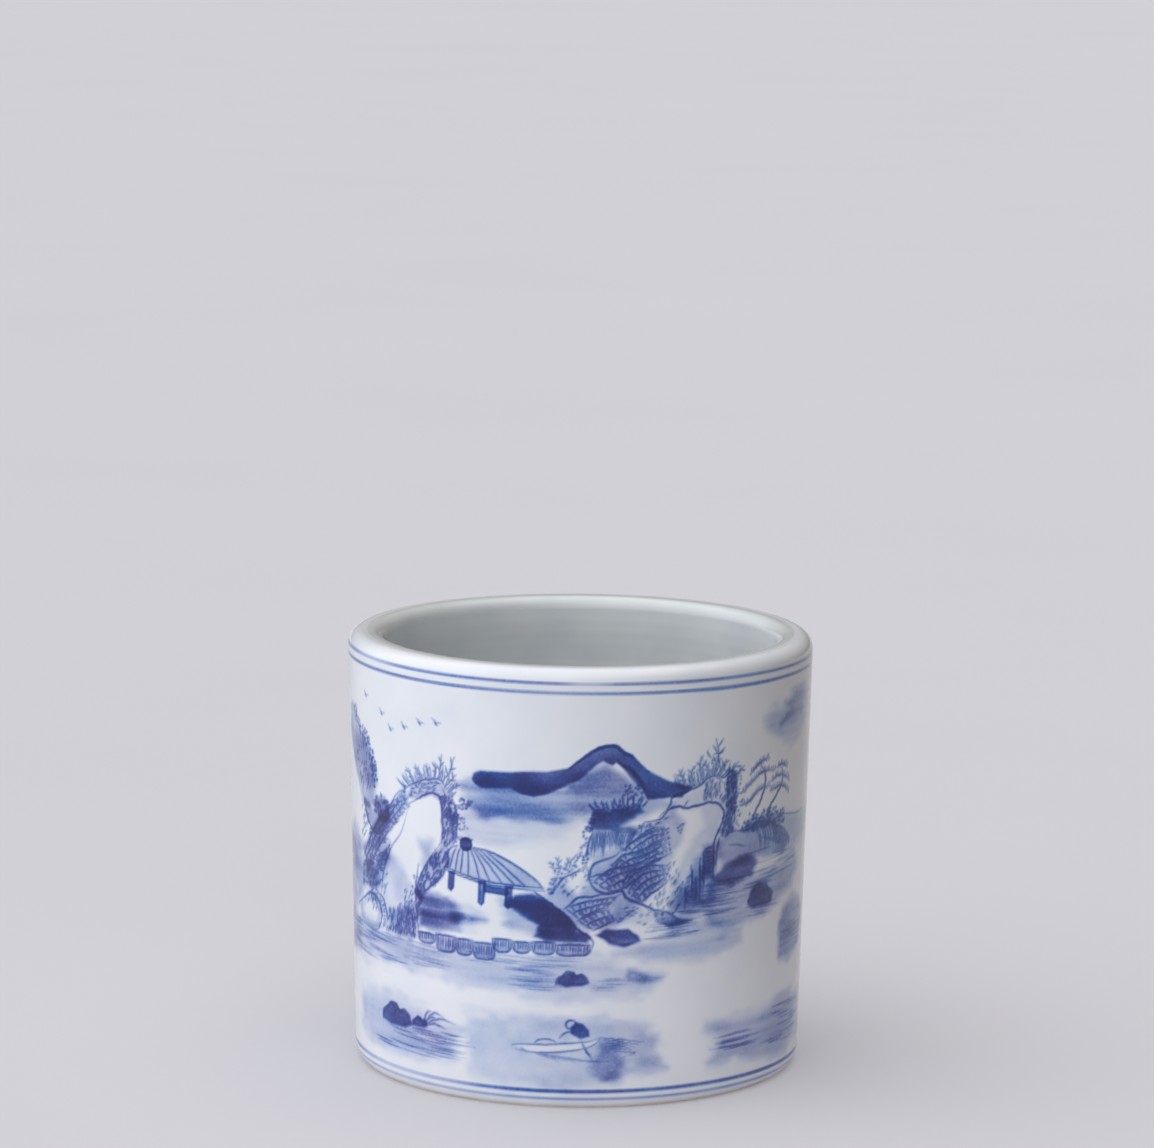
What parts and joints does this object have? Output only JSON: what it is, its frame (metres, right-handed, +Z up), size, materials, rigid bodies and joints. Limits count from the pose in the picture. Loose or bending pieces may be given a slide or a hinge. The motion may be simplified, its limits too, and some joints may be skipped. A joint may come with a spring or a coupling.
{
  "type": "brush holder pot",
  "caption": "Round glazed porcelain desk pot with a thick rounded lip, a slightly tapered side and a turned foot, for standing brushes and pens in.",
  "frame": {"origin": "centre of the foot's underside, on the surface that the pot stands on", "axes": "+Z up, along the axis of revolution from the foot to the mouth; X and Y are alike in shape"},
  "size_m": [0.1518, 0.1518, 0.142],
  "materials": {
    "porcelain_clay": "matte",
    "bare_foot": "matte",
    "cobalt_blue": "matte",
    "clear_glaze": "gloss"
  },
  "bodies": {
    "root": {"thrown_wall": "porcelain_clay", "seam_coil": "porcelain_clay", "floor_slab": "porcelain_clay", "foot_ring": "bare_foot", "banding_lines": "cobalt_blue", "outer_glaze": "clear_glaze", "inner_glaze": "clear_glaze", "underside_glaze": "clear_glaze"}
  },
  "joints": []
}
